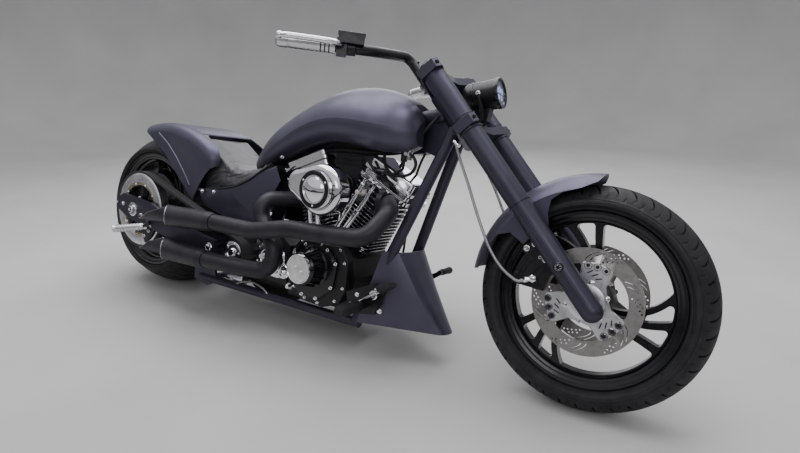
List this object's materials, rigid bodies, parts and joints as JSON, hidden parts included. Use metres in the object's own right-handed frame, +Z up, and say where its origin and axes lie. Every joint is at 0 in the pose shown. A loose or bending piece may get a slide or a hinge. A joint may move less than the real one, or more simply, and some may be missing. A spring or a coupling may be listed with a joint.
{
  "type": "chopper motorcycle",
  "caption": "Long, low chopper motorcycle with a raked fork, wide rear tyre, exposed V-twin engine, belt drive, twin exhausts and solo seat, leaning on its side stand.",
  "frame": {"origin": "on the floor, under the middle of the whole machine's bounding box", "axes": "+X towards the front wheel, +Y to the rider's left, +Z up; the machine leans to +Y on its stand"},
  "size_m": [2.5011, 0.8814, 1.0435],
  "materials": {
    "painted": "matte slate grey paint",
    "frame_paint": "satin slate grey paint",
    "black_metal": "satin black coating",
    "exhaust_black": "matte black heat paint",
    "engine_black": "black crinkle coat",
    "chrome": "polished",
    "brushed": "ground steel",
    "silver": "satin",
    "tyre": "rubber",
    "leather": "black leather",
    "lens": "clear lens",
    "belt": "toothed rubber belt",
    "hose": "braided steel hose"
  },
  "bodies": {
    "frame": {"frame_spine": "frame_paint", "downtubes": "frame_paint", "lower_rails": "frame_paint", "rear_frame": "frame_paint", "swingarm": "frame_paint", "rear_axle": "brushed", "chin_spoiler": "painted", "fuel_tank": "painted", "rear_fender": "painted", "seat_panel": "painted", "seat": "leather", "crankcase": "engine_black", "front_cylinder": "engine_black", "rear_cylinder": "engine_black", "front_rocker_box": "chrome", "rear_rocker_box": "chrome", "pushrod_tubes": "chrome", "carburettor": "chrome", "air_cleaner": "chrome", "cam_cover": "engine_black", "primary_cover": "engine_black", "transmission": "engine_black", "drive_belt": "belt", "rear_caliper": "black_metal", "rear_pegs": "chrome", "front_exhaust": "exhaust_black", "rear_exhaust": "exhaust_black", "right_forward_control": "black_metal", "left_forward_control": "black_metal", "fuel_tap": "black_metal"},
    "fork": {"right_fork_leg": "painted", "left_fork_leg": "painted", "front_axle": "brushed", "triple_trees": "black_metal", "handlebar": "black_metal", "grips": "silver", "brake_lever_set": "black_metal", "clutch_lever_set": "black_metal", "headlamp": "black_metal", "headlamp_lens": "lens", "headlamp_bracket": "black_metal", "front_fender": "painted", "front_calipers": "black_metal", "brake_hoses": "hose"},
    "front_wheel": {"front_tyre": "tyre", "front_rim": "black_metal", "front_discs": "brushed"},
    "rear_wheel": {"rear_tyre": "tyre", "rear_rim": "black_metal", "rear_pulley": "silver"},
    "stand": {"side_stand": "black_metal"}
  },
  "joints": [
    {"name": "steering", "type": "hinge", "parent": "frame", "child": "fork", "pos_m": [0.51795, -0.02448, 0.70614], "axis": [-0.6677, 0.1367, 0.7318], "range_deg": [-29.4, 22.6]},
    {"name": "front_wheel_spin", "type": "hinge", "parent": "fork", "child": "front_wheel", "pos_m": [0.93242, -0.09534, 0.31316], "axis": [-0.0445, 0.9739, -0.2225], "continuous": true},
    {"name": "rear_wheel_spin", "type": "hinge", "parent": "frame", "child": "rear_wheel", "pos_m": [-0.91949, -0.0952, 0.33105], "axis": [-0.0004, 0.9829, -0.184], "continuous": true},
    {"name": "side_stand_fold", "type": "hinge", "parent": "frame", "child": "stand", "pos_m": [-0.01401, 0.00818, 0.06627], "axis": [0.0433, 0.2776, 0.9597], "range_deg": [0, 103.09]}
  ]
}
